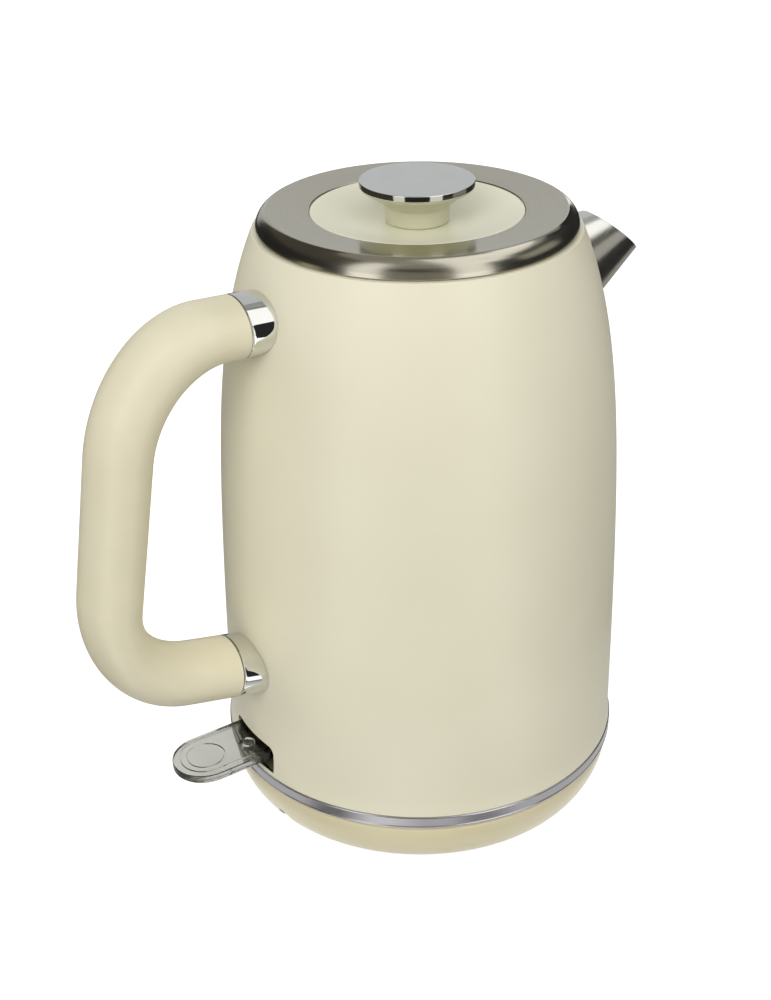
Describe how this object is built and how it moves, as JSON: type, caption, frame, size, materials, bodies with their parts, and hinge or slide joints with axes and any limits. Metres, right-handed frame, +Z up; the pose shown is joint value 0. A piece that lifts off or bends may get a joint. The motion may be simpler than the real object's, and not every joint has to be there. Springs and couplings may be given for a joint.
{
  "type": "electric kettle",
  "caption": "Cream barrel-shaped cordless electric kettle with a tube handle, a conical steel spout, a lift-off lid with a disc knob, a clear switch lever and a round power base.",
  "frame": {"origin": "on the jug's axis, in the plane that the base's rubber foot ring stands on", "axes": "+Z up; the spout points along +X; the handle and the switch lever point along -X"},
  "size_m": [0.231, 0.1512, 0.2377],
  "materials": {
    "cream_plastic": "smooth, soft sheen",
    "cream_paint": "smooth gloss enamel",
    "cream_gloss": "gloss",
    "brushed_steel": "brushed",
    "inner_steel": "drawn sheet",
    "screw_steel": "plain",
    "chrome": "polished",
    "aluminium": "cast",
    "brass": "plain",
    "black_plastic": "matt",
    "grey_plastic": "matt",
    "filter_plastic": "matt",
    "clear_plastic": "clear, glossy",
    "amber_plastic": "translucent",
    "rubber_dark": "matt",
    "silicone": "matt"
  },
  "bodies": {
    "base": {"base_shell": "cream_plastic", "base_bottom_cover": "cream_plastic", "base_foot_ring": "rubber_dark", "base_socket": "black_plastic", "base_contacts": "brass", "base_screws": "screw_steel", "cord_grommet": "rubber_dark"},
    "swivel": {"socket_shutter": "grey_plastic"},
    "kettle": {"body_shell": "cream_paint", "bottom_trim_ring": "brushed_steel", "underside_cover": "black_plastic", "cover_screws": "screw_steel", "kettle_connector": "black_plastic", "connector_contacts": "brass", "control_unit": "black_plastic", "bimetal_discs": "inner_steel", "heater_plate": "inner_steel", "heat_diffuser": "aluminium", "heating_element": "aluminium", "element_terminals": "brass", "plate_seal": "silicone", "steam_tube": "inner_steel", "spout": "brushed_steel", "filter_clips": "inner_steel", "handle_grip": "cream_gloss", "upper_collar": "chrome", "lower_collar": "chrome", "handle_screws": "screw_steel", "handle_pads": "inner_steel", "handle_gaskets": "silicone", "lever_bracket": "black_plastic", "lever_pin": "screw_steel", "indicator_lamp": "amber_plastic"},
    "lever": {"switch_lever": "clear_plastic", "lever_carrier": "black_plastic"},
    "plunger": {"trip_plunger": "filter_plastic"},
    "filter": {"filter_frame": "filter_plastic", "filter_mesh": "inner_steel"},
    "lid": {"lid_ring": "brushed_steel", "lid_insert": "cream_gloss", "lid_pan": "inner_steel", "lid_seal": "silicone", "knob_stem": "cream_gloss", "knob_cap": "chrome", "knob_screw": "screw_steel"}
  },
  "joints": [
    {"name": "kettle_turn", "type": "hinge", "parent": "base", "child": "swivel", "pos_m": [0, 0, 0.0272], "axis": [0, 0, 1], "continuous": true},
    {"name": "kettle_lift", "type": "slide", "parent": "swivel", "child": "kettle", "axis": [0, 0, 1], "range_m": [0, 0.3]},
    {"name": "lever_tilt", "type": "hinge", "parent": "kettle", "child": "lever", "pos_m": [-0.06, 0, 0.0308], "axis": [0, -1, 0], "range_deg": [0, 7]},
    {"name": "plunger_rise", "type": "slide", "parent": "kettle", "child": "plunger", "axis": [0, 0, 1], "range_m": [0, 0.00145]},
    {"name": "filter_tilt", "type": "hinge", "parent": "kettle", "child": "filter", "pos_m": [0.06284, 0, 0.174], "axis": [0, -1, 0], "range_deg": [0, 25]},
    {"name": "lid_lift", "type": "slide", "parent": "kettle", "child": "lid", "axis": [0, 0, 1], "range_m": [0, 0.12]}
  ],
  "couplings": [
    {"joint": "plunger_rise", "follows": "lever_tilt", "m_per_rad": 0.0116}
  ]
}
